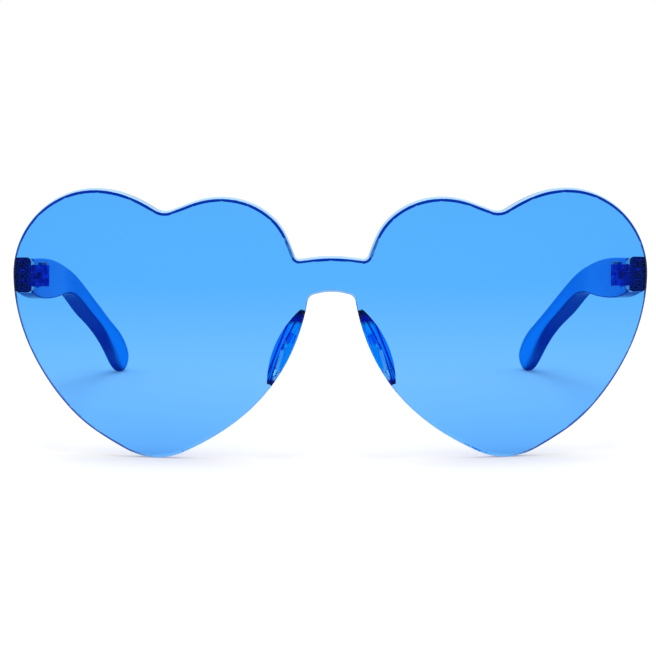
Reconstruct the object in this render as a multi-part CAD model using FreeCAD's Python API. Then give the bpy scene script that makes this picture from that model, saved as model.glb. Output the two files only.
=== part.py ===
"""Heart shaped sunglasses moulded in clear tinted plastic, standing on a table with the temples open.

One curved sheet carries both hearts and the bridge.  Behind it sit two bonded end blocks, two bonded
nose pads, and two temples that fold on small metal hinges with three barrels and a screw.

Millimetres.  The pieces are drawn as the glasses are worn, temples level: X to the right as seen from
the front, Y backwards, Z up, with Z = 0 at the hinges and Y = 0 at the front of the bridge.
The finished set is then tipped until the heart tips and the temple tips stand on the table together.
"""
import FreeCAD
import Part
import math
import os

# Front sheet: heights are taken above the heart tips, widths from the centre line
front_width = 146.0
lens_thickness = 2.2
wrap_radius = 200.0
panto_angle = 13.0
lens_front_round = 0.9
lens_back_round = 0.3

hinge_height = 40.7
outer_lobe_x = 52.6
outer_lobe_height = 62.0
shoulder_inset = 6.1
shoulder_height = 55.7
shoulder_angle = -46.0
inner_lobe_x = 24.4
inner_lobe_height = 60.9
inner_shoulder_x = 13.3
inner_shoulder_height = 56.7
inner_shoulder_angle = 42.0
cleft_x = 38.0
cleft_height = 56.8
cleft_angle_in = -24.0
cleft_angle_out = 36.0
cleft_round = 4.0
flank_inset = 13.0
flank_height = 10.3
flank_angle = -134.0
tip_x = 40.4
tip_radius = 15.0
tip_sweep = 26.0
nose_flank_x = 18.4
nose_flank_height = 12.0
nose_flank_angle = 136.0
nose_corner_x = 5.2
nose_corner_height = 38.6
nose_corner_angle = 98.0
bridge_low_height = 39.5
bridge_low_angle = 167.0
bridge_top_height = 47.6
bridge_corner_x = 8.0
bridge_corner_height = 46.8
bridge_corner_angle = -9.0
lobe_foot_angle = 73.0
bridge_round = 1.2
nose_round = 2.1

# End blocks: bonded behind the sheet, open towards the wearer for the hinge
block_inset = 0.6
block_width = 3.9
block_height = 8.0
block_depth = 5.4
block_round = 1.0
pocket_depth = 1.3
pocket_length = 4.6
peg_diameter = 1.2
peg_length = 1.4
peg_spacing = 4.4
peg_clearance = 0.05

# Hinges: the front leaf carries two barrels, the temple leaf the middle one
barrel_diameter = 2.8
barrel_stand_off = 2.1
hinge_stack_height = 4.9
barrel_gap = 0.05
leaf_thickness = 0.8
leaf_clearance = 0.05
temple_leaf_length = 9.2
stud_diameter = 0.9
stud_length = 1.1
front_stud_spacing = 2.4
temple_stud_spacing = 4.4
screw_diameter = 1.3
screw_clearance = 0.03
screw_head_diameter = 2.3
screw_head_height = 0.7
screw_slot_width = 0.35
screw_slot_depth = 0.35

# Temples: runs follow each other from the hinge backwards, drops are the middle line below the hinge
butt_gap = 0.05
belly_run = 27.0
belly_rise = 0.3
belly_height = 9.7
straight_run = 35.0
straight_rise = 1.2
straight_height = 7.6
waist_run = 21.0
waist_rise = 0.6
waist_height = 5.2
ear_run = 21.0
ear_drop = 4.35
ear_height = 4.8
drop_run = 21.0
drop_drop = 12.9
drop_height = 7.3
tip_run = 12.0
tip_drop = 18.0
tip_lead = 2.0
tip_height = 6.7
temple_butt_thickness = 3.9
temple_waist_thickness = 4.3
temple_ear_thickness = 4.9
temple_drop_thickness = 4.0
temple_tip_thickness = 3.6
temple_inward_slope = 0.03
bow_start = 60.0
bow_radius = 295.0
temple_inner_round = 0.5
temple_outer_round = 0.6
tip_inner_round = 1.5
tip_outer_round = 1.7

# Nose pads: ridges on a half-moon foot, with sides that lean together towards the wearer
pad_low_height = 17.9
pad_top_height = 35.1
pad_depth = 7.0
pad_end_depth = 1.2
pad_foot_width = 4.5
pad_end_width = 1.4
pad_nose_lean = 14.4
pad_far_lean = 12.0
pad_round = 0.25
pad_peg_height = 27.2
pad_peg_diameter = 1.0
pad_peg_length = 1.4

# Lengths that only have to reach past the pieces they cut, what counts as touching, and the stands tried
reach = 60.0
overlap = 1.0
touching = 1e-4
steepest_stand = 30.0
stand_halvings = 30

V = FreeCAD.Vector
ORIGIN = V(0, 0, 0)
X_AXIS = V(1, 0, 0)
Y_AXIS = V(0, 1, 0)
Z_AXIS = V(0, 0, 1)


def heading(angle):
    """Unit direction in the drawing plane, degrees from the first axis."""
    turn = math.radians(angle)
    return V(math.cos(turn), math.sin(turn), 0)


def tangent_arc(start, direction, end):
    """The arc (or line) that leaves start along direction and reaches end."""
    chord = end - start
    side = V(-direction.y, direction.x, 0)
    bend = 2.0 * chord.dot(side) / chord.dot(chord)
    if abs(bend) < 1e-6:
        return Part.LineSegment(start, end).toShape()
    centre = start + side * (1.0 / bend)
    middle = (start + end) * 0.5 - centre
    radius = (start - centre).Length
    crown = direction - chord * (direction.dot(chord) / chord.dot(chord))
    outward = 1.0 if middle.dot(crown) >= 0 else -1.0
    if middle.Length < 1e-6:
        middle = crown
        outward = 1.0
    return Part.Arc(start, centre + middle * (outward * radius / middle.Length), end).toShape()


def smooth_run(keys):
    """Edges through key points (first, second, heading), two tangent arcs between each pair."""
    edges = []
    for (u0, v0, a0), (u1, v1, a1) in zip(keys, keys[1:]):
        start = V(u0, v0, 0)
        end = V(u1, v1, 0)
        leave = heading(a0)
        arrive = heading(a1)
        chord = end - start
        square = 2.0 * (1.0 - leave.dot(arrive))
        linear = 2.0 * chord.dot(leave + arrive)
        length = chord.dot(chord)
        if square < 1e-9:
            handle = length / linear
        else:
            handle = (math.sqrt(linear * linear + 4.0 * square * length) - linear) / (2.0 * square)
        first = start + leave * handle
        second = end - arrive * handle
        joint = (first + second) * 0.5
        edges.append(tangent_arc(start, leave, joint))
        edges.append(tangent_arc(joint, (second - first).normalize(), end))
    return edges


def upright(shape):
    """Stand a drawing made in X, Y up into X, Z."""
    return shape.rotated(ORIGIN, X_AXIS, 90)


def box(x0, x1, y0, y1, z0, z1):
    return Part.makeBox(x1 - x0, y1 - y0, z1 - z0, V(x0, y0, z0))


def rod(diameter, length, foot, direction):
    return Part.makeCylinder(diameter / 2.0, length, foot, direction)


def leaned(shape):
    """Tip a piece of the front about the hinge level at its sides, lenses against temples."""
    return shape.rotated(V(0, sheet_back(block_outer), 0), X_AXIS, panto_angle)


def mirrored(shape):
    return shape.mirror(ORIGIN, X_AXIS)


# Places shared by the front, the blocks, the hinges and the temples
half_width = front_width / 2.0
back_radius = wrap_radius - lens_thickness


def sheet_back(x):
    """Depth of the sheet's rear face at a distance from the centre line."""
    return wrap_radius - math.sqrt(back_radius ** 2 - x ** 2)


block_outer = half_width - block_inset
block_inner = block_outer - block_width
butt = sheet_back(block_outer) + block_depth
axis_x = block_inner - barrel_stand_off
half_stack = hinge_stack_height / 2.0
barrel_height = (hinge_stack_height - 2.0 * barrel_gap) / 3.0
split = barrel_height / 2.0 + barrel_gap
screw_hole = screw_diameter + 2.0 * screw_clearance
stud_hole = stud_diameter + 2.0 * leaf_clearance
plate_back = block_inner + pocket_depth


def heart_keys():
    """Right heart, clockwise from the middle of the bridge top to the middle of its underside."""
    tip_turn = math.radians(tip_sweep)
    tip_out = tip_radius * math.sin(tip_turn)
    tip_up = tip_radius * (1.0 - math.cos(tip_turn))
    bridge_top = [
        (0.0, bridge_top_height, 0.0),
        (bridge_corner_x, bridge_corner_height, bridge_corner_angle),
    ]
    inner_lobe = [
        (bridge_corner_x, bridge_corner_height, lobe_foot_angle),
        (inner_shoulder_x, inner_shoulder_height, inner_shoulder_angle),
        (inner_lobe_x, inner_lobe_height, 0.0),
        (cleft_x, cleft_height, cleft_angle_in),
    ]
    outer_side = [
        (cleft_x, cleft_height, cleft_angle_out),
        (outer_lobe_x, outer_lobe_height, 0.0),
        (half_width - shoulder_inset, shoulder_height, shoulder_angle),
        (half_width, hinge_height, -90.0),
        (half_width - flank_inset, flank_height, flank_angle),
        (tip_x + tip_out, tip_up, -180.0 + tip_sweep),
        (tip_x - tip_out, tip_up, 180.0 - tip_sweep),
        (nose_flank_x, nose_flank_height, nose_flank_angle),
        (nose_corner_x, nose_corner_height, nose_corner_angle),
    ]
    bridge_low = [
        (nose_corner_x, nose_corner_height, bridge_low_angle),
        (0.0, bridge_low_height, 180.0),
    ]
    return [bridge_top, inner_lobe, outer_side, bridge_low]


def sheet_prism():
    """The outline of both hearts drawn through the depth of the wrap, with its sharp corners rounded."""
    half = []
    for keys in heart_keys():
        half += smooth_run(keys)
    other = [edge.mirror(ORIGIN, X_AXIS) for edge in half]
    face = Part.Face(Part.Wire(Part.__sortEdges__(half + other)))
    face.translate(V(0, -hinge_height, 0))
    prism = upright(face).extrude(Y_AXIS * reach)
    prism.translate(-Y_AXIS * overlap)
    corners = (
        (cleft_x, cleft_height, cleft_round),
        (bridge_corner_x, bridge_corner_height, bridge_round),
        (nose_corner_x, nose_corner_height, nose_round),
    )
    for x, height, radius in corners:
        edges = [edge for edge in prism.Edges if on_corner(edge, x, height - hinge_height)]
        prism = prism.makeFillet(radius, edges)
    return prism


def on_corner(edge, x, z):
    """True for an edge that runs straight back from the corner at x, on either side."""
    first = edge.Vertexes[0].Point
    last = edge.Vertexes[-1].Point
    straight = abs(first.x - last.x) < touching and abs(first.z - last.z) < touching
    return straight and abs(abs(first.x) - x) < touching and abs(first.z - z) < touching


def wrap_solid(radius):
    """Everything behind a face of the wrapped sheet, before the front is tipped."""
    foot = V(0, wrap_radius, -reach - hinge_height)
    return Part.makeCylinder(radius, 3.0 * reach + hinge_height, foot, Z_AXIS)


def block_pegs(diameter, length):
    """Two pegs that stand forward from the block into the sheet."""
    pegs = []
    x = (plate_back + block_outer) / 2.0
    behind = leaned(wrap_solid(back_radius))
    for z in (-peg_spacing / 2.0, peg_spacing / 2.0):
        whole = rod(diameter, sheet_back(x) + lens_thickness + overlap, V(x, 0, z), Y_AXIS)
        start = whole.cut(behind).BoundBox.YMax
        pegs.append(rod(diameter, length + overlap, V(x, start - length, z), Y_AXIS))
    return pegs


def pad_peg(diameter, length):
    """One peg at mid-height of the nose pad, in the frame of the upright front."""
    x = nose_edge_x(pad_peg_height) + pad_foot_width / 2.0
    start = sheet_back(x) - length
    return rod(diameter, length + overlap, V(x, start, pad_peg_height - hinge_height), Y_AXIS)


def nose_run(offset):
    """The nose edge of the right heart, moved into the heart by an offset."""
    keys = []
    ends = (
        (nose_flank_x, nose_flank_height, nose_flank_angle),
        (nose_corner_x, nose_corner_height, nose_corner_angle),
    )
    for x, height, angle in ends:
        inward = heading(angle - 90.0)
        keys.append((x + inward.x * offset, height + inward.y * offset, angle))
    return keys


def nose_edge_x(height):
    """Distance of the nose edge from the centre line at a height."""
    edge = Part.Wire(smooth_run(nose_run(0.0)))
    level = Part.LineSegment(V(0, height, 0), V(half_width, height, 0)).toShape()
    return edge.distToShape(level)[1][0][0].x


def make_front():
    """The whole front sheet: both hearts, the bridge and the holes for the pegs."""
    shell = wrap_solid(wrap_radius).cut(wrap_solid(back_radius))
    sheet = sheet_prism().common(shell).Solids[0]
    sheet = sheet.makeFillet(lens_front_round, rim_edges(sheet, wrap_radius))
    sheet = sheet.makeFillet(lens_back_round, rim_edges(sheet, back_radius))
    hole = pad_peg(pad_peg_diameter + 2.0 * peg_clearance, pad_peg_length + peg_clearance)
    sheet = sheet.cut([hole, mirrored(hole)])
    sheet = leaned(sheet)
    holes = block_pegs(peg_diameter + 2.0 * peg_clearance, peg_length + peg_clearance)
    return sheet.cut(holes + [mirrored(item) for item in holes])


def rim_edges(sheet, radius):
    """The long outline edges on the front or rear face of the sheet, told apart by the face's radius."""
    found = []
    for edge in sheet.Edges:
        middle = edge.valueAt((edge.FirstParameter + edge.LastParameter) / 2.0)
        points = [middle] + [vertex.Point for vertex in edge.Vertexes]
        depths = [math.hypot(point.x, point.y - wrap_radius) - radius for point in points]
        if max(abs(depth) for depth in depths) < touching:
            found.append(edge)
    return found


def make_block():
    """Right end block: a rounded bar behind the sheet, with a pocket for the front leaf and two pegs."""
    half = block_height / 2.0
    bar = box(block_inner, block_outer, 0, butt, -half, half)
    bar = bar.makeFillet(block_round, [e for e in bar.Edges if abs(e.tangentAt(e.FirstParameter).y) > 0.9])
    block = bar.common(leaned(wrap_solid(back_radius)))
    pocket = box(
        block_inner - overlap,
        plate_back,
        butt - pocket_length,
        butt + overlap,
        -half_stack - leaf_clearance,
        half_stack + leaf_clearance,
    )
    block = block.cut(pocket)
    studs = front_studs(stud_hole, stud_length + leaf_clearance)
    block = block.cut(studs)
    return block.fuse(block_pegs(peg_diameter, peg_length)).removeSplitter()


def front_studs(diameter, length):
    y = butt - pocket_length / 2.0
    places = (-front_stud_spacing / 2.0, front_stud_spacing / 2.0)
    return [rod(diameter, length, V(plate_back, y, z), X_AXIS) for z in places]


def temple_studs(diameter, length):
    x = block_inner + leaf_thickness
    middle = butt + (barrel_diameter / 2.0 + temple_leaf_length) / 2.0
    places = (middle - temple_stud_spacing / 2.0, middle + temple_stud_spacing / 2.0)
    return [rod(diameter, length, V(x, y, 0), X_AXIS) for y in places]


def barrel(low, high):
    return rod(barrel_diameter, high - low, V(axis_x, butt, low), Z_AXIS)


def screw_bore():
    return rod(screw_hole, hinge_stack_height + 2.0 * overlap, V(axis_x, butt, -half_stack - overlap), Z_AXIS)


def make_front_leaf():
    """Right front leaf: a plate let into the end block, two arms and the outer barrels."""
    arm_front = butt - barrel_diameter / 2.0
    arm_back = butt - butt_gap - leaf_clearance
    plate = box(plate_back - leaf_thickness, plate_back, butt - pocket_length + leaf_clearance, arm_back,
                -half_stack, half_stack)
    leaf = plate
    for low, high in ((-half_stack, -split), (split, half_stack)):
        arm = box(axis_x, plate_back - leaf_thickness / 2.0, arm_front, arm_back, low, high)
        leaf = leaf.fuse([arm, barrel(low, high)])
    leaf = leaf.fuse(front_studs(stud_diameter, stud_length))
    return leaf.cut(screw_bore()).removeSplitter()


def make_temple_leaf():
    """Right temple leaf: a plate let into the temple, a neck and the middle barrel."""
    start = butt + butt_gap + leaf_clearance
    high = barrel_height / 2.0
    plate = box(block_inner, block_inner + leaf_thickness, start, butt + temple_leaf_length,
                -half_stack, half_stack)
    rounded = [e for e in plate.Edges if abs(e.tangentAt(e.FirstParameter).x) > 0.9
               and e.CenterOfMass.y > start + leaf_thickness]
    plate = plate.makeFillet(leaf_thickness, rounded)
    neck = box(axis_x, block_inner + leaf_thickness / 2.0, start, butt + barrel_diameter / 2.0, -high, high)
    leaf = plate.fuse([neck, barrel(-high, high)])
    leaf = leaf.fuse(temple_studs(stud_diameter, stud_length))
    return leaf.cut(screw_bore()).removeSplitter()


def make_screw():
    """Right hinge screw: a plain shank through the three barrels and a slotted head on top."""
    shank = rod(screw_diameter, hinge_stack_height, V(axis_x, butt, -half_stack), Z_AXIS)
    head = rod(screw_head_diameter, screw_head_height, V(axis_x, butt, half_stack), Z_AXIS)
    top = half_stack + screw_head_height
    half_slot = screw_slot_width / 2.0
    slot = box(axis_x - screw_head_diameter, axis_x + screw_head_diameter, butt - half_slot, butt + half_slot,
               top - screw_slot_depth, top + overlap)
    rim = [e for e in head.Edges if e.CenterOfMass.z > top - touching]
    head = head.makeFillet(screw_slot_depth / 2.0, rim)
    return shank.fuse(head).cut(slot).removeSplitter()


def spline_run(points):
    """Edges of one smooth curve through the points, a separate edge from each point to the next."""
    curve = Part.BSplineCurve()
    curve.interpolate(points)
    knots = curve.getKnots()
    return [curve.toShape(first, last) for first, last in zip(knots, knots[1:])]


def temple_stations():
    """(distance behind the butt, middle line, height) of the temple's side outline."""
    steps = (
        (0.0, 0.0, block_height),
        (belly_run, belly_rise, belly_height),
        (straight_run, straight_rise, straight_height),
        (waist_run, waist_rise, waist_height),
        (ear_run, -ear_drop, ear_height),
        (drop_run, -drop_drop, drop_height),
    )
    stations = []
    distance = 0.0
    for run, middle, height in steps:
        distance += run
        stations.append((distance, middle, height))
    return stations


def temple_side():
    """Side outline of the temple drawn in Y, Z and run across the width."""
    stations = temple_stations()
    end = stations[-1][0] + tip_run
    upper = [V(0, y, middle + height / 2.0) for y, middle, height in stations]
    lower = [V(0, y, middle - height / 2.0) for y, middle, height in stations]
    shoulder = end - tip_lead
    tip = [
        V(0, shoulder, -tip_drop + tip_height / 2.0),
        V(0, end, -tip_drop),
        V(0, shoulder, -tip_drop - tip_height / 2.0),
    ]
    edges = spline_run(upper + tip + lower[::-1])
    edges.append(Part.LineSegment(lower[0], upper[0]).toShape())
    face = Part.Face(Part.Wire(edges))
    face.translate(V(0, butt + butt_gap, 0))
    solid = face.extrude(X_AXIS * reach)
    solid.translate(X_AXIS * (axis_x - reach / 2.0))
    return solid


def inner_face_x(distance):
    """Inner face of the temple in plan: straight, then bowed towards the head."""
    x = block_inner - temple_inward_slope * distance
    if distance > bow_start:
        x -= bow_radius - math.sqrt(bow_radius ** 2 - (distance - bow_start) ** 2)
    return x


def temple_plan():
    """Plan outline of the temple, thickest over the ear, run up and down."""
    belly = belly_run
    waist = belly + straight_run + waist_run
    ear = waist + ear_run
    drop = ear + drop_run
    end = drop + tip_run + overlap
    widths = (
        (0.0, temple_butt_thickness),
        (belly, temple_butt_thickness),
        (waist, temple_waist_thickness),
        (ear, temple_ear_thickness),
        (drop, temple_drop_thickness),
        (end, temple_tip_thickness),
    )
    bow_middle = (bow_start + end) / 2.0
    near = [V(inner_face_x(d), d, 0) for d in (0.0, bow_start, bow_middle, end)]
    straight = Part.LineSegment(near[0], near[1]).toShape()
    bow = Part.Arc(near[1], near[2], near[3]).toShape()
    far = [V(inner_face_x(d) + width, d, 0) for d, width in widths]
    front = Part.LineSegment(near[0], far[0]).toShape()
    back = Part.LineSegment(near[3], far[-1]).toShape()
    edges = [front, straight, bow, back] + spline_run(far)
    face = Part.Face(Part.Wire(Part.__sortEdges__(edges)))
    face.translate(V(0, butt + butt_gap, -reach))
    return face.extrude(Z_AXIS * 2.0 * reach)


def side_edges(temple, nearest, farthest):
    """Long edges of the temple between two distances outside its inner face, the butt's own left out."""
    start = butt + butt_gap
    slack = temple_tip_thickness / 4.0
    found = []
    for edge in temple.Edges:
        ends = [vertex.Point for vertex in edge.Vertexes]
        middle = edge.valueAt((edge.FirstParameter + edge.LastParameter) / 2.0)
        points = ends + [middle]
        behind_butt = max(point.y for point in points) > start + overlap
        runs_back = abs(ends[0].y - ends[-1].y) > touching
        offsets = [point.x - inner_face_x(point.y - start) for point in points]
        within = min(offsets) > nearest - slack and max(offsets) < farthest + slack
        if behind_butt and runs_back and within:
            found.append(edge)
    return found


def tip_share(point):
    """0 along the temple, growing to 1 at the low end of its tip."""
    top = drop_height / 2.0 - drop_drop
    low = -tip_height / 2.0 - tip_drop
    return min(1.0, max(0.0, (top - point.z) / (top - low)))


def tip_rounded(solid, edges, slim, full):
    """The solid with long edges rounded, slim along the temple and full at the low end of its tip."""
    bench = FreeCAD.newDocument("temple_edges")
    sharp = bench.addObject("Part::Feature", "sharp")
    sharp.Shape = solid
    soft = bench.addObject("Part::Fillet", "soft")
    soft.Base = sharp
    rows = []
    for number, edge in enumerate(solid.Edges, 1):
        if any(edge.isSame(chosen) for chosen in edges):
            ends = [edge.valueAt(place) for place in (edge.FirstParameter, edge.LastParameter)]
            radii = [slim + (full - slim) * tip_share(end) for end in ends]
            rows.append((number, radii[0], radii[1]))
    soft.Edges = rows
    bench.recompute()
    rounded = soft.Shape.copy()
    FreeCAD.closeDocument(bench.Name)
    return rounded


def make_temple():
    """Right temple: side outline and plan outline crossed, long edges rounded, recess for its leaf."""
    temple = temple_side().common(temple_plan()).Solids[0]
    inner = side_edges(temple, 0.0, 0.0)
    temple = tip_rounded(temple, inner, temple_inner_round, tip_inner_round)
    outer = side_edges(temple, temple_tip_thickness, temple_ear_thickness)
    temple = tip_rounded(temple, outer, temple_outer_round, tip_outer_round)
    recess = box(
        block_inner - overlap,
        block_inner + leaf_thickness,
        butt - overlap,
        butt + temple_leaf_length + leaf_clearance,
        -half_stack - leaf_clearance,
        half_stack + leaf_clearance,
    )
    return temple.cut([recess] + temple_studs(stud_hole, stud_length + leaf_clearance))


def pad_base():
    """Depth of the sheet's rear face behind the middle of the nose pad."""
    return sheet_back(nose_edge_x((pad_low_height + pad_top_height) / 2.0))


def leaning_prism(face, lean):
    """A drawing on the rear face of the sheet, run backwards with a lean away from the nose."""
    run = V(math.tan(math.radians(lean)), 1.0, 0)
    face.translate(V(0, -hinge_height, 0))
    prism = upright(face).extrude(run * (2.0 * pad_depth))
    prism.translate(Y_AXIS * pad_base() - run * overlap)
    return prism


def pad_nose_side():
    """All that lies on the heart's side of the pad's nose face."""
    inner = smooth_run(nose_run(0.0))
    outer = smooth_run(nose_run(2.0 * pad_foot_width))
    ends = [
        Part.LineSegment(inner[0].Vertexes[0].Point, outer[0].Vertexes[0].Point).toShape(),
        Part.LineSegment(inner[-1].Vertexes[-1].Point, outer[-1].Vertexes[-1].Point).toShape(),
    ]
    strip = Part.Face(Part.Wire(Part.__sortEdges__(inner + outer + ends)))
    return leaning_prism(strip, pad_nose_lean)


def pad_far_side():
    """All that lies on the nose's side of the pad's far face, which bulges in the front view."""
    middle = (pad_low_height + pad_top_height) / 2.0
    top = V(nose_edge_x(pad_top_height) + pad_end_width, pad_top_height, 0)
    low = V(nose_edge_x(pad_low_height) + pad_end_width, pad_low_height, 0)
    bulge = V(nose_edge_x(middle) + pad_foot_width, middle, 0)
    far_low = V(-pad_foot_width, pad_low_height, 0)
    far_top = V(-pad_foot_width, pad_top_height, 0)
    edges = [
        Part.Arc(top, bulge, low).toShape(),
        Part.LineSegment(low, far_low).toShape(),
        Part.LineSegment(far_low, far_top).toShape(),
        Part.LineSegment(far_top, top).toShape(),
    ]
    return leaning_prism(Part.Face(Part.Wire(edges)), -pad_far_lean)


def pad_profile():
    """Side outline of the pad, deepest at mid-height, run across the width."""
    base = pad_base()
    low = V(0, base + pad_end_depth, pad_low_height - hinge_height)
    top = V(0, base + pad_end_depth, pad_top_height - hinge_height)
    crown = V(0, base + pad_depth, (low.z + top.z) / 2.0)
    front_low = V(0, 0, low.z)
    front_top = V(0, 0, top.z)
    edges = [
        Part.Arc(low, crown, top).toShape(),
        Part.LineSegment(top, front_top).toShape(),
        Part.LineSegment(front_top, front_low).toShape(),
        Part.LineSegment(front_low, low).toShape(),
    ]
    return Part.Face(Part.Wire(edges)).extrude(X_AXIS * reach)


def stands_free(edge):
    """True for an edge of the pad that is clear of the sheet at both ends."""
    depths = [back_radius - math.hypot(end.X, end.Y - wrap_radius) for end in edge.Vertexes]
    return min(depths) > pad_end_depth / 2.0


def make_pad():
    """Right nose pad: the space between its two leaning faces, under its profile and behind the sheet."""
    pad = pad_nose_side().common(pad_far_side()).common(pad_profile())
    pad = pad.common(wrap_solid(back_radius)).Solids[0]
    pad = pad.makeFillet(pad_round, [edge for edge in pad.Edges if stands_free(edge)])
    pad = pad.fuse(pad_peg(pad_peg_diameter, pad_peg_length)).removeSplitter()
    return leaned(pad)


def lowest(shape, tilt):
    return shape.rotated(ORIGIN, X_AXIS, -tilt).optimalBoundingBox(False, False).ZMin


def standing_tilt(front, temple):
    """Angle at which the heart tips and the temple tips touch the table together."""
    low, high = 0.0, steepest_stand
    for _ in range(stand_halvings):
        tilt = (low + high) / 2.0
        if lowest(front, tilt) < lowest(temple, tilt):
            low = tilt
        else:
            high = tilt
    return (low + high) / 2.0


def main():
    os.makedirs("parts", exist_ok=True)
    nodes = {"lens_front": make_front()}
    makers = {
        "end_block": make_block,
        "nose_pad": make_pad,
        "hinge_front_leaf": make_front_leaf,
        "hinge_temple_leaf": make_temple_leaf,
        "hinge_screw": make_screw,
        "temple": make_temple,
    }
    for name, maker in makers.items():
        piece = maker()
        nodes[name + "_right"] = piece
        nodes[name + "_left"] = mirrored(piece)

    tilt = standing_tilt(nodes["lens_front"], nodes["temple_right"])
    placed = {name: shape.rotated(ORIGIN, X_AXIS, -tilt) for name, shape in nodes.items()}
    whole = Part.makeCompound(list(placed.values())).optimalBoundingBox(False, False)
    shift = V(0, -(whole.YMin + whole.YMax) / 2.0, -whole.ZMin)
    for name, shape in placed.items():
        shape.translate(shift)
        shape.exportStep("parts/" + name + ".step")
        print(name, "volume", round(shape.Volume, 2), "valid", shape.isValid(), "solids", len(shape.Solids))

    turn = FreeCAD.Rotation(X_AXIS, -tilt)
    hinge = turn.multVec(V(axis_x, butt, 0)) + shift
    print("standing tilt", round(tilt, 4), "lens lean", round(panto_angle - tilt, 4))
    print("right hinge", tuple(round(v, 4) for v in hinge))
    print("hinge axis", tuple(round(v, 6) for v in turn.multVec(Z_AXIS)))
    print("size", round(whole.XLength, 3), round(whole.YLength, 3), round(whole.ZLength, 3))


main()
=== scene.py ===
# %% [markdown]
# Heart shaped sunglasses in clear blue plastic.
# The solids come from the CAD model and already have their true shape, so this lesson is about looks:
# how tinted clear plastic, small metal hinges and a white studio are set up in Blender.
# Everything is in metres, in the frame of the CAD model: the table is Z = 0 and the lenses face -Y.

# %% Load the CAD model
import math

import bpy
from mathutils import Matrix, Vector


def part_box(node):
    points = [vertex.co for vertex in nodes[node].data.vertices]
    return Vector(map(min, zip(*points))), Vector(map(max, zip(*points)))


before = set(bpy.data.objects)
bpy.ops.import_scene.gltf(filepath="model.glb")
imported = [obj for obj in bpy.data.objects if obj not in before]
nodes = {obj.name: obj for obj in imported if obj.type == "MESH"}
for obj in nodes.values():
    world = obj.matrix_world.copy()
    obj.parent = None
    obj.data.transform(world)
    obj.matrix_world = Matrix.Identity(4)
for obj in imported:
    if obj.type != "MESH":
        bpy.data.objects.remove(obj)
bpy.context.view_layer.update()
print("nodes:", ", ".join(sorted(nodes)))

# %% [markdown]
# The studio is a white table that runs into a white backdrop, as in a catalogue picture.
# A lamp strong enough to burn the table white would also wash out the plastic, so the white is made another
# way: rays from the camera, and rays that come through or off the glasses, meet a background of strength 1,
# while the light that falls on the table and the glasses stays at a plain level.

# %% White backdrop
AMBIENT = 0.95
BACKDROP = 1.0
WHITE = (1.0, 1.0, 1.0, 1.0)


def maths(tree, operation, *values):
    """A Math node on sockets or plain numbers; gives its output."""
    node = tree.nodes.new("ShaderNodeMath")
    node.operation = operation
    for slot, value in zip(node.inputs, values):
        if isinstance(value, (int, float)):
            slot.default_value = value
        else:
            tree.links.new(value, slot)
    return node.outputs["Value"]


def spread(tree, value, low, high, to_low, to_high):
    """A Map Range node, which carries a socket from one range of numbers to another; gives its output."""
    node = tree.nodes.new("ShaderNodeMapRange")
    node.inputs["From Min"].default_value = low
    node.inputs["From Max"].default_value = high
    node.inputs["To Min"].default_value = to_low
    node.inputs["To Max"].default_value = to_high
    tree.links.new(value, node.inputs["Value"])
    return node.outputs["Result"]


def seen_rays(tree):
    """One socket: 1 for camera, mirror and see-through rays, 0 for the light that fills the room."""
    path = tree.nodes.new("ShaderNodeLightPath")
    mirrored = maths(tree, "MAXIMUM", path.outputs["Is Camera Ray"], path.outputs["Is Glossy Ray"])
    return maths(tree, "MAXIMUM", mirrored, path.outputs["Is Transmission Ray"])


scene = bpy.context.scene
scene.view_settings.view_transform = "Standard"
world = bpy.data.worlds.new("studio_white")
scene.world = world
world.use_nodes = True
tree = world.node_tree
room = tree.nodes["Background"]
room.inputs["Color"].default_value = WHITE
strength = spread(tree, seen_rays(tree), 0.0, 1.0, AMBIENT, BACKDROP)
tree.links.new(strength, room.inputs["Strength"])
print("room light", AMBIENT, "backdrop", BACKDROP)

# %% [markdown]
# The table has to keep the thin shadows where the hearts and the ear tips touch it. A table that only glows
# would lose them, so its material is an ordinary pale diffuse surface, plus a little light of its own that
# only the camera and the plastic see. The two add up to white in the open and to a soft grey in the shadows.
# The lamp falls off with distance, so the table's own light grows a little away from the glasses.

# %% White table
TABLE_SIZE = 8.0
TABLE_PALE = (0.74, 0.74, 0.74, 1.0)
TABLE_ROUGHNESS = 0.9
LIFT_NEAR = 0.25
LIFT_FAR = 0.35
LIFT_STARTS = 0.2
LIFT_ENDS = 1.5


def vectors(tree, operation, *values):
    """A Vector Math node on sockets; gives the node, whose outputs are Vector and Value."""
    node = tree.nodes.new("ShaderNodeVectorMath")
    node.operation = operation
    for slot, value in zip(node.inputs, values):
        tree.links.new(value, slot)
    return node


bpy.ops.object.select_all(action="DESELECT")
bpy.ops.mesh.primitive_plane_add(size=TABLE_SIZE, location=(0.0, 0.0, 0.0))
table = bpy.context.object
table.name = "table_top"

table_white = bpy.data.materials.new("table_white")
table_white.use_nodes = True
tree = table_white.node_tree
surface = tree.nodes["Principled BSDF"]
surface.inputs["Base Color"].default_value = TABLE_PALE
surface.inputs["Roughness"].default_value = TABLE_ROUGHNESS
surface.inputs["Specular IOR Level"].default_value = 0.0
surface.inputs["Emission Color"].default_value = WHITE
place = tree.nodes.new("ShaderNodeTexCoord")
away = vectors(tree, "LENGTH", place.outputs["Object"]).outputs["Value"]
lift = spread(tree, away, LIFT_STARTS, LIFT_ENDS, LIFT_NEAR, LIFT_FAR)
lift = maths(tree, "MULTIPLY", seen_rays(tree), lift)
tree.links.new(lift, surface.inputs["Emission Strength"])
table.data.materials.append(table_white)
print("table", TABLE_SIZE, "m")

# %% [markdown]
# One square soft box hangs high above the table, a little in front of the middle and tipped towards the
# glasses. A small lamp would draw hard shadows; this one is wide beside the glasses, so shadows stay soft.
# It is weak: most of the light is the room's, and the lamp only gives the shapes a lit top and a shaded
# underside.

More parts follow.
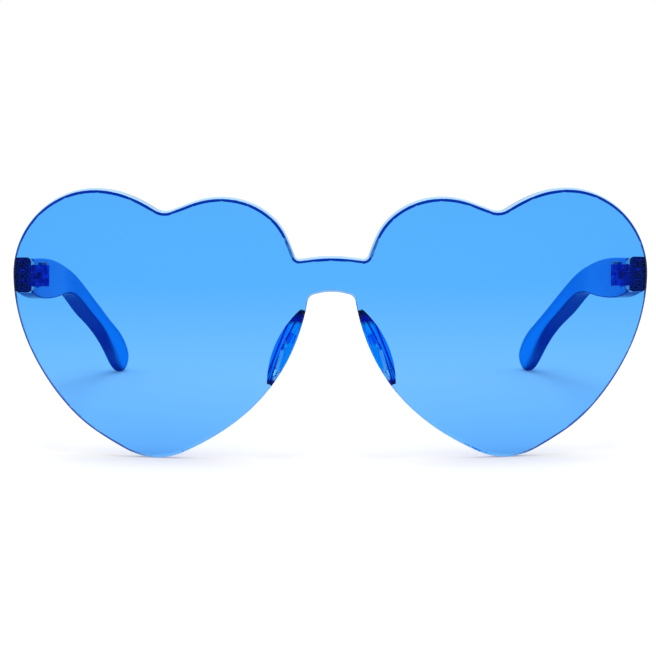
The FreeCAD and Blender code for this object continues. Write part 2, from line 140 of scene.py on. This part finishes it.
# %% Soft box
SOFT_BOX_PLACE = (0.0, -0.18, 1.3)
SOFT_BOX_SIDE = 0.6
SOFT_BOX_WATTS = 5.5
SOFT_BOX_TIP = 4.8

bpy.ops.object.light_add(type="AREA", location=SOFT_BOX_PLACE)
soft_box = bpy.context.object
soft_box.name = "soft_box"
soft_box.data.shape = "RECTANGLE"
soft_box.data.size = SOFT_BOX_SIDE
soft_box.data.size_y = SOFT_BOX_SIDE
soft_box.data.energy = SOFT_BOX_WATTS
soft_box.rotation_euler = (math.radians(SOFT_BOX_TIP), 0.0, 0.0)
print("soft box", SOFT_BOX_WATTS, "W")

# %% [markdown]
# The picture was taken from the front with a long lens, a little above the table.
# Eyewear is photographed this way because a long lens keeps the temples from splaying out to the sides.
# The camera stands a hair to the left of the middle, which is why the left temple shows a little more.

# %% Camera
CAMERA_GAP = 0.640
CAMERA_HEIGHT = 0.1119
CAMERA_PITCH = 7.203
CAMERA_SWING = -0.8
FOCAL_PIXELS = 2861.7
IMAGE_PIXELS = 656
CENTRE_PIXELS = 3.7
SENSOR_WIDTH = 36.0
NEAREST_SEEN = 0.01

lens_low, lens_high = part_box("lens_front")
swing = math.radians(CAMERA_SWING)
bpy.ops.object.camera_add(
    location=(
        CAMERA_GAP * math.sin(swing),
        lens_low.y - CAMERA_GAP * math.cos(swing),
        CAMERA_HEIGHT,
    ),
    rotation=(
        math.radians(90.0 - CAMERA_PITCH),
        0.0,
        swing + CENTRE_PIXELS / FOCAL_PIXELS,
    ),
)
camera = bpy.context.object
camera.name = "front_camera"
camera.data.sensor_width = SENSOR_WIDTH
camera.data.lens = SENSOR_WIDTH * FOCAL_PIXELS / IMAGE_PIXELS
camera.data.clip_start = NEAREST_SEEN
scene.camera = camera
print("camera lens", round(camera.data.lens, 1), "mm")

# %% [markdown]
# Clear plastic gets its colour from depth: light that runs through more of it comes out darker and bluer.
# A coloured surface would tint thin and thick places alike, so a Volume Absorption node does it instead.
# One tint serves all the pieces, each with a density of its own, because they are moulded separately.
# The surfaces are polished, and faint handling marks wander through their roughness. On the temples the
# marks stay soft, because fine specks sparkle in thick plastic.

# %% Tinted clear plastic
PLASTIC_IOR = 1.52
TINT = (0.0, 0.64, 0.985, 1.0)
BLUE_SHINE = (0.02, 0.12, 0.6, 1.0)
TEMPLE_SHINE = (0.5, 0.7, 1.0, 1.0)
PAD_SHINE = (0.6, 0.75, 1.0, 1.0)
BLOCK_BLUE = (0.2, 0.25, 0.5, 1.0)
LENS_DENSITY = 815.0
TEMPLE_DENSITY = 200.0
PAD_DENSITY = 170.0
BLOCK_DENSITY = 1100.0
SMUDGE_SCALE = 90.0
SMUDGE_LOW = 0.35
SMUDGE_HIGH = 0.75
FINE_SPECKS = 6.0
NO_SPECKS = 0.0
LENS_MARKS = (0.0, 0.02, FINE_SPECKS)
TEMPLE_MARKS = (0.03, 0.06, NO_SPECKS)
PAD_MARKS = (0.0, 0.03, FINE_SPECKS)
BLOCK_MARKS = (0.0, 0.04, FINE_SPECKS)


def plastic(name, density, shine):
    """A polished clear plastic whose tint grows with depth; density is per metre, shine tints reflections."""
    material = bpy.data.materials.new(name)
    material.use_nodes = True
    tree = material.node_tree
    surface = tree.nodes["Principled BSDF"]
    surface.inputs["Base Color"].default_value = WHITE
    surface.inputs["Transmission Weight"].default_value = 1.0
    surface.inputs["IOR"].default_value = PLASTIC_IOR
    surface.inputs["Specular Tint"].default_value = shine
    inside = tree.nodes.new("ShaderNodeVolumeAbsorption")
    inside.inputs["Color"].default_value = TINT
    inside.inputs["Density"].default_value = density
    tree.links.new(inside.outputs["Volume"], tree.nodes["Material Output"].inputs["Volume"])
    return material


def handling_marks(material, low, high, detail):
    """Roughness that wanders between two values in soft smudges; detail adds fine specks to them."""
    tree = material.node_tree
    place = tree.nodes.new("ShaderNodeTexCoord")
    smudge = tree.nodes.new("ShaderNodeTexNoise")
    smudge.inputs["Scale"].default_value = SMUDGE_SCALE
    smudge.inputs["Detail"].default_value = detail
    tree.links.new(place.outputs["Object"], smudge.inputs["Vector"])
    roughness = spread(tree, smudge.outputs["Fac"], SMUDGE_LOW, SMUDGE_HIGH, low, high)
    tree.links.new(roughness, tree.nodes["Principled BSDF"].inputs["Roughness"])


lens_plastic = plastic("lens_plastic_clear", LENS_DENSITY, BLUE_SHINE)
temple_plastic = plastic("temple_plastic_clear", TEMPLE_DENSITY, TEMPLE_SHINE)
pad_plastic = plastic("pad_plastic_clear", PAD_DENSITY, PAD_SHINE)
block_plastic = plastic("block_plastic_clear", BLOCK_DENSITY, BLUE_SHINE)
block_plastic.node_tree.nodes["Principled BSDF"].inputs["Base Color"].default_value = BLOCK_BLUE
handling_marks(lens_plastic, *LENS_MARKS)
handling_marks(temple_plastic, *TEMPLE_MARKS)
handling_marks(pad_plastic, *PAD_MARKS)
handling_marks(block_plastic, *BLOCK_MARKS)
print("plastics of density", LENS_DENSITY, TEMPLE_DENSITY, PAD_DENSITY, BLOCK_DENSITY)

# %% [markdown]
# The colour of the sheet changes with height, and this is painted light: it is lightest about a third of the
# way up, where the brightly lit table shows through, darker higher up, where the dimmer backdrop shows
# through, and a little darker at the foot, in the sheet's own shadow. It could be painted on a UV map, but it
# only follows the height on the lens, so a ramp along Z of the Object coordinates is enough to colour the
# surface.

# %% Painted light on the lens, by height
# Painted light: lightest a third of the way up, darker towards the top and a little darker at the foot, in
# the sheet's own shadow.
PAINTED_FADE = (
    (0.08, (0.80, 0.84, 0.97, 1.0)),
    (0.30, (0.95, 0.89, 0.97, 1.0)),
    (0.66, (0.507, 0.745, 0.895, 1.0)),
)


def parts(tree, vector):
    """The outputs X, Y and Z of a vector socket."""
    node = tree.nodes.new("ShaderNodeSeparateXYZ")
    tree.links.new(vector, node.inputs["Vector"])
    return node.outputs


def ramp(tree, value, stops):
    """A colour ramp of (place, colour) stops on a socket between 0 and 1; gives the colour."""
    node = tree.nodes.new("ShaderNodeValToRGB")
    steps = node.color_ramp.elements
    while len(steps) < len(stops):
        steps.new(0.5)
    for step, (place, colour) in zip(steps, stops):
        step.position = place
        step.color = colour
    tree.links.new(value, node.inputs["Fac"])
    return node.outputs["Color"]


tree = lens_plastic.node_tree
clear_sheet = tree.nodes["Principled BSDF"]
place = tree.nodes.new("ShaderNodeTexCoord")
spot = parts(tree, place.outputs["Object"])
height = spread(tree, spot["Z"], 0.0, lens_high.z, 0.0, 1.0)
painted_fade = ramp(tree, height, PAINTED_FADE)
print("fade over", round(lens_high.z * 1000, 1), "mm")

# %% [markdown]
# The rounded rim of a clear sheet catches the eye: from the front it reads as a dark blue line, because the
# bend sends the light away along the sheet, and where the rim faces up into the light it ends in a pale band.
# Both are painted into the colour of the sheet: the line as painted shade, the band as a painted highlight.
# Thin strips could be modelled for both, but they would have edges of their own. Both follow the direction
# of the surface, so they are worked out from it. The sheet is part of a cylinder that leans forward, so its
# own normal is known at every X, and the angle between that and the surface normal tells face from rim.

# %% Directions on the rim
SHEET_RADIUS = 0.2
SHEET_LEAN = math.radians(4.8)
RIM_UP = (0.0, 0.45)
RIM_OUT = (-0.1, 0.4)


def soft_step(tree, value, low, high):
    """0 below low, 1 above high, and a soft step between."""
    node = tree.nodes.new("ShaderNodeMapRange")
    node.interpolation_type = "SMOOTHSTEP"
    node.inputs["From Min"].default_value = low
    node.inputs["From Max"].default_value = high
    tree.links.new(value, node.inputs["Value"])
    return node.outputs["Result"]


def outwards(tree, sideways, position):
    """A sideways measure turned so that it is positive away from the middle of the glasses on both halves."""
    return maths(tree, "MULTIPLY", sideways, maths(tree, "SIGN", position))


across = maths(tree, "DIVIDE", spot["X"], SHEET_RADIUS)
ahead = maths(tree, "SUBTRACT", 1.0, maths(tree, "MULTIPLY", across, across))
ahead = maths(tree, "SQRT", ahead)
sheet = tree.nodes.new("ShaderNodeCombineXYZ")
tree.links.new(across, sheet.inputs["X"])
tree.links.new(maths(tree, "MULTIPLY", ahead, -math.cos(SHEET_LEAN)), sheet.inputs["Y"])
tree.links.new(maths(tree, "MULTIPLY", ahead, -math.sin(SHEET_LEAN)), sheet.inputs["Z"])
sheet_normal = sheet.outputs["Vector"]
own_normal = place.outputs["Normal"]
facing = vectors(tree, "DOT_PRODUCT", own_normal, sheet_normal).outputs["Value"]
along = vectors(tree, "SCALE", sheet_normal)
tree.links.new(facing, along.inputs["Scale"])
sideways = vectors(tree, "SUBTRACT", own_normal, along.outputs["Vector"])
rim = parts(tree, vectors(tree, "NORMALIZE", sideways.outputs["Vector"]).outputs["Vector"])
rim_up = soft_step(tree, rim["Z"], *RIM_UP)
rim_outer = soft_step(tree, outwards(tree, rim["X"], spot["X"]), *RIM_OUT)
print("rim directions on a bend of", SHEET_RADIUS, "m")

# %% [markdown]
# On the front half of the rim the painted shade line is navy, and it fades to clear where the rim turns into
# the face, nearer to the face along the top than at the sides. It is multiplied with the painted fade, so
# both show. The pale band of painted highlight lets less light through, and colour alone would not do that,
# so the band lowers the transmission too. A weaker painted highlight of the same kind lies under the bridge.

# %% Painted shade line and painted highlight band along the rim
CLEAR = WHITE
# Painted shade for the rim line, and a painted highlight for the pale band.
RIM_SHADE_NAVY = (0.0, 0.004, 0.14, 1.0)
RIM_HIGHLIGHT = (0.45, 0.70, 1.0, 1.0)
HIGHLIGHT_DEPTH = 0.8
BRIDGE_HIGHLIGHT = 0.45
FRONT_HALF = (-0.2, 0.0)
TOP_LINE = (0.985, 0.9985)
SIDE_LINE = (0.94, 0.99)
TOP_BAND = (0.68, 0.78)
LOW_BAND = (0.9, 0.997)
BRIDGE_HALF = (0.005, 0.008)
RIM_DOWN = (0.3, 0.8)


def falling(tree, value, low, high):
    """1 below low, 0 above high, and a soft step between."""
    return maths(tree, "SUBTRACT", 1.0, soft_step(tree, value, low, high))


def flipped(tree, value):
    """A measure with its sign turned."""
    return maths(tree, "MULTIPLY", value, -1.0)


def plain(tree, colour):
    """One colour all over, as a socket."""
    node = tree.nodes.new("ShaderNodeRGB")
    node.outputs["Color"].default_value = colour
    return node.outputs["Color"]


def blend_colours(tree, factor, first, second, how="MIX"):
    """Two colours mixed by a factor, or multiplied; gives the colour."""
    node = tree.nodes.new("ShaderNodeMix")
    node.data_type = "RGBA"
    node.blend_type = how
    if isinstance(factor, float):
        node.inputs["Factor"].default_value = factor
    else:
        tree.links.new(factor, node.inputs["Factor"])
    tree.links.new(first, node.inputs["A"])
    tree.links.new(second, node.inputs["B"])
    return node.outputs["Result"]


def rim_shade_line(tree, value, starts, ends):
    """Painted shade: navy up to one angle, fading to clear at another."""
    return ramp(tree, value, ((0.0, RIM_SHADE_NAVY), (starts, RIM_SHADE_NAVY), (ends, CLEAR)))


# The rim line is painted shade on the front half of the rim, where it faces outwards or up.
turned = maths(tree, "MAXIMUM", facing, 0.0)
front_half = soft_step(tree, facing, *FRONT_HALF)
no_line = plain(tree, CLEAR)
line = blend_colours(tree, rim_outer, no_line, rim_shade_line(tree, turned, *SIDE_LINE))
line = blend_colours(tree, rim_up, line, rim_shade_line(tree, turned, *TOP_LINE))
line = blend_colours(tree, front_half, no_line, line)
tinted = blend_colours(tree, 1.0, painted_fade, line, "MULTIPLY")

# The pale bands are a painted highlight: where the rim faces up, and weaker under the bridge.
top_band = maths(tree, "MULTIPLY", rim_up, falling(tree, facing, *TOP_BAND))
near_middle = falling(tree, maths(tree, "ABSOLUTE", spot["X"]), *BRIDGE_HALF)
rim_down = soft_step(tree, flipped(tree, rim["Z"]), *RIM_DOWN)
under_bridge = maths(tree, "MULTIPLY", near_middle, rim_down)
under_bridge = maths(tree, "MULTIPLY", under_bridge, BRIDGE_HIGHLIGHT)
low_band = maths(tree, "MULTIPLY", under_bridge, falling(tree, facing, *LOW_BAND))
highlight_band = maths(tree, "MULTIPLY", maths(tree, "ADD", top_band, low_band), front_half)
sheet_colour = blend_colours(tree, highlight_band, tinted, plain(tree, RIM_HIGHLIGHT))
tree.links.new(sheet_colour, clear_sheet.inputs["Base Color"])
clear_part = maths(tree, "SUBTRACT", 1.0, maths(tree, "MULTIPLY", highlight_band, HIGHLIGHT_DEPTH))
tree.links.new(clear_part, clear_sheet.inputs["Transmission Weight"])
print("rim line and band on the sheet")

# %% [markdown]
# The temples are moulded thicker than the sheet and come out a fuller, cloudier blue. Scattering in a volume
# would give that too, but it is slow and grainy, so the cloud is a share of plain surface colour.
# Inner and lower faces are the cloudiest, as seen through the sheet, and the undersides get painted shade in
# navy, for the shade they lie in. Outer faces are clear, so light reaches the cloudy inner face and comes
# back deeper, and the tops are between the two. Beside the hinge the outer face is cloudy too, over the metal
# leaf that is let in there. All this follows the direction of the surface, or the distance along the temple.
# A coat of very low index reflects next to nothing, and only keeps red out at low angles.

# %% Cloudy temple plastic
TEMPLE_BLUE = (0.0, 0.40, 1.0, 1.0)
TEMPLE_UNDER_SHADE = (0.0, 0.035, 0.38, 1.0)
TEMPLE_CLEAR = (0.65, 0.88, 1.0, 1.0)
TEMPLE_TOP = (0.01, 0.20, 0.85, 1.0)
TEMPLE_BUTT = (0.01, 0.20, 0.72, 1.0)
TEMPLE_IOR = 1.5
COAT_IOR = 1.02
COAT_BLUE = (0.45, 0.97, 1.0, 1.0)
CLOUD_TOP = 0.5
CLOUD_INSIDE = 0.8
CLOUD_BUTT = 0.9
FACES_IN = (0.2, 0.7)
FACES_DOWN = (0.2, 0.75)
FACES_UP = (0.4, 0.8)
BUTT_START = 0.0005
BUTT_FADE = 0.012
BUTT_LAG = 0.004


def outward_normal(tree):
    """The surface normal on Object axes, pointing out of the piece also where it is met from inside."""
    place = tree.nodes.new("ShaderNodeTexCoord")
    met = tree.nodes.new("ShaderNodeNewGeometry")
    # Backfacing is 0 from outside and 1 from inside, so side is 1 or -1.
    side = maths(tree, "MULTIPLY_ADD", met.outputs["Backfacing"], -2.0, 1.0)
    out = vectors(tree, "SCALE", place.outputs["Normal"])
    tree.links.new(side, out.inputs["Scale"])
    return parts(tree, out.outputs["Vector"])


tree = temple_plastic.node_tree
cloudy = tree.nodes["Principled BSDF"]
cloudy.inputs["Specular IOR Level"].default_value = 0.0
cloudy.inputs["IOR"].default_value = TEMPLE_IOR
cloudy.inputs["Coat Weight"].default_value = 1.0
cloudy.inputs["Coat IOR"].default_value = COAT_IOR
cloudy.inputs["Coat Tint"].default_value = COAT_BLUE
place = tree.nodes.new("ShaderNodeTexCoord")
spot = parts(tree, place.outputs["Object"])
normal = outward_normal(tree)
inward = soft_step(tree, flipped(tree, outwards(tree, normal["X"], spot["X"])), *FACES_IN)
downward = soft_step(tree, flipped(tree, normal["Z"]), *FACES_DOWN)
upward = soft_step(tree, normal["Z"], *FACES_UP)
_, leaf_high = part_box("hinge_temple_leaf_right")
butt_end = leaf_high.y + BUTT_START
butt = falling(tree, spot["Y"], butt_end, butt_end + BUTT_FADE)
butt_blue = falling(tree, spot["Y"], butt_end + BUTT_LAG, butt_end + BUTT_LAG + BUTT_FADE)
colour = blend_colours(tree, butt_blue, plain(tree, TEMPLE_CLEAR), plain(tree, TEMPLE_BUTT))
colour = blend_colours(tree, upward, colour, plain(tree, TEMPLE_TOP))
colour = blend_colours(tree, inward, colour, plain(tree, TEMPLE_BLUE))
# Painted shade: faces that point down are navy.
colour = blend_colours(tree, downward, colour, plain(tree, TEMPLE_UNDER_SHADE))
tree.links.new(colour, cloudy.inputs["Base Color"])
cloud = maths(tree, "MULTIPLY", maths(tree, "MAXIMUM", inward, downward), CLOUD_INSIDE)
cloud = maths(tree, "MAXIMUM", cloud, maths(tree, "MULTIPLY", upward, CLOUD_TOP))
cloud = maths(tree, "MAXIMUM", cloud, maths(tree, "MULTIPLY", butt, CLOUD_BUTT))
tree.links.new(maths(tree, "SUBTRACT", 1.0, cloud), cloudy.inputs["Transmission Weight"])
print("temples cloudy inside and below, and clear outside past Y =", round(butt_end * 1000, 1), "mm")

# %% [markdown]
# The nose pads carry painted shade and a painted highlight: two thin dark lines of painted shade run along
# each pad, the ends are painted nearly black as shade, and beside the lower part of the inner line a pale
# streak is a painted highlight. Ribs could be cut in the solid to make such lines, but the pads are seen only
# through two clear pieces, so the marks are drawn on the face that is bonded to the sheet, as distances from
# a slanting line in X and Z. The rest of the pad stays plain clear plastic. There is no air in the bond and
# light bends less there, so the pads get a lower index than the sheet.

# %% Painted shade and highlight on the nose pads
PAD_IOR = 1.25
PAD_BLUE = (0.0, 0.23, 0.94, 1.0)
PAD_BRIGHT = (0.0, 0.50, 1.0, 1.0)
# The near black of the ends and the dark blue of the lines are painted shade.
PAD_END_SHADE = (0.0, 0.0, 0.12, 1.0)
PAD_LINE_SHADE = (0.0, 0.0, 0.22, 1.0)
STREAK_X = 0.01073
STREAK_Z = 0.0267
STREAK_SLANT = 0.297
STREAK_HALF = 0.0005
STREAK_TOP = (0.0252, 0.0258)
LINE_HALF = 0.0003
LINE_CORE = 0.5
BEND_Z = 0.020
INNER_SHADE_LINE = 0.0006
INNER_BEND = -11.0
OUTER_SHADE_LINE = 0.0017
OUTER_SLOPE = -0.088
NOSE_SIDE = (-0.0003, 0.0002)
TOP_END = (0.0038, 0.0026)
LOW_END = (0.0008, 0.0016)
BONDED = (0.5, 0.8)


def thin_line(tree, value, middle, half):
    """1 on a thin line where the value is near the middle, and 0 beside it."""
    away = maths(tree, "ABSOLUTE", maths(tree, "SUBTRACT", value, middle))
    return falling(tree, away, half * LINE_CORE, half)


pad_low, pad_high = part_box("nose_pad_left")
tree = pad_plastic.node_tree
clear_pad = tree.nodes["Principled BSDF"]
clear_pad.inputs["IOR"].default_value = PAD_IOR
place = tree.nodes.new("ShaderNodeTexCoord")
spot = parts(tree, place.outputs["Object"])
up = spot["Z"]
slant = maths(tree, "MULTIPLY", maths(tree, "SUBTRACT", STREAK_Z, up), STREAK_SLANT)
streak_line = maths(tree, "ADD", slant, STREAK_X)
beside = maths(tree, "SUBTRACT", maths(tree, "ABSOLUTE", spot["X"]), streak_line)
above = maths(tree, "SUBTRACT", up, BEND_Z)
bend = maths(tree, "MULTIPLY", maths(tree, "MULTIPLY", above, above), INNER_BEND)
# Two thin lines of painted shade run along the pad.
inner_shade = thin_line(tree, beside, maths(tree, "ADD", bend, INNER_SHADE_LINE), LINE_HALF)
outer_line = maths(tree, "MULTIPLY_ADD", above, OUTER_SLOPE, OUTER_SHADE_LINE)
outer_shade = thin_line(tree, beside, outer_line, LINE_HALF)
nose_side = falling(tree, beside, *NOSE_SIDE)
# A pale streak of painted highlight beside the lower part of the inner line.
pad_highlight = thin_line(tree, beside, 0.0, STREAK_HALF)
pad_highlight = maths(tree, "MULTIPLY", pad_highlight, falling(tree, up, *STREAK_TOP))
# Painted shade: the ends of the pad are nearly black.
top_end = soft_step(tree, up, pad_high.z - TOP_END[0], pad_high.z - TOP_END[1])
low_end = falling(tree, up, pad_low.z + LOW_END[0], pad_low.z + LOW_END[1])
shade_lines = maths(tree, "MAXIMUM", inner_shade, outer_shade)
ends = maths(tree, "MAXIMUM", top_end, low_end)
shading = blend_colours(tree, nose_side, plain(tree, PAD_BLUE), plain(tree, PAD_BRIGHT))
shading = blend_colours(tree, shade_lines, shading, plain(tree, PAD_LINE_SHADE))
shading = blend_colours(tree, pad_highlight, shading, plain(tree, CLEAR))
shading = blend_colours(tree, ends, shading, plain(tree, PAD_END_SHADE))
bonded = soft_step(tree, flipped(tree, outward_normal(tree)["Y"]), *BONDED)
pad_colour = blend_colours(tree, bonded, plain(tree, CLEAR), shading)
tree.links.new(pad_colour, clear_pad.inputs["Base Color"])
print("flutes on the pads, from", round(pad_low.z * 1000, 1), "to", round(pad_high.z * 1000, 1), "mm")

# %% [markdown]
# The hinge leaves are small stampings finished in the blue of the frame. One flat blue would look like paint,
# so a fine noise between a dark and a bright blue stands for the uneven, worn finish of such small parts.
# The screws are bare metal.

# %% Hinge metal
HINGE_DARK = (0.0, 0.01, 0.40, 1.0)
HINGE_WORN = (0.03, 0.16, 0.80, 1.0)
HINGE_SHINE = (0.05, 0.15, 0.8, 1.0)
HINGE_ROUGHNESS = 0.35
WEAR_SCALE = 700.0
WEAR_DETAIL = 3.0
WEAR_STARTS = 0.40
WEAR_ENDS = 0.66
SCREW_GREY = (0.30, 0.32, 0.42, 1.0)
SCREW_ROUGHNESS = 0.25


def metal(name, colour, roughness):
    """A metal of one colour and roughness."""
    material = bpy.data.materials.new(name)
    material.use_nodes = True
    surface = material.node_tree.nodes["Principled BSDF"]
    surface.inputs["Base Color"].default_value = colour
    surface.inputs["Metallic"].default_value = 1.0
    surface.inputs["Roughness"].default_value = roughness
    return material


hinge_metal = metal("hinge_metal_blued", HINGE_DARK, HINGE_ROUGHNESS)
tree = hinge_metal.node_tree
blued = tree.nodes["Principled BSDF"]
blued.inputs["Specular Tint"].default_value = HINGE_SHINE
place = tree.nodes.new("ShaderNodeTexCoord")
wear = tree.nodes.new("ShaderNodeTexNoise")
wear.inputs["Scale"].default_value = WEAR_SCALE
wear.inputs["Detail"].default_value = WEAR_DETAIL
tree.links.new(place.outputs["Object"], wear.inputs["Vector"])
worn = ramp(tree, wear.outputs["Fac"], ((WEAR_STARTS, HINGE_DARK), (WEAR_ENDS, HINGE_WORN)))
tree.links.new(worn, blued.inputs["Base Color"])
screw_metal = metal("screw_metal_bare", SCREW_GREY, SCREW_ROUGHNESS)
print("hinge and screw metal made")

# %% [markdown]
# Each piece of the CAD model takes its finish by its name. They could be set one by one, but the left and
# right pieces share a material, because every pattern above is the same on both halves, so a short table of
# kinds is enough.

# %% Give each piece its finish
finishes = {
    "lens_front": lens_plastic,
    "end_block": block_plastic,
    "temple": temple_plastic,
    "nose_pad": pad_plastic,
    "hinge_front_leaf": hinge_metal,
    "hinge_temple_leaf": hinge_metal,
    "hinge_screw": screw_metal,
}
for name, piece in nodes.items():
    kind = name.removesuffix("_left").removesuffix("_right")
    piece.data.materials.clear()
    piece.data.materials.append(finishes[kind])
print("finishes on", len(nodes), "pieces")
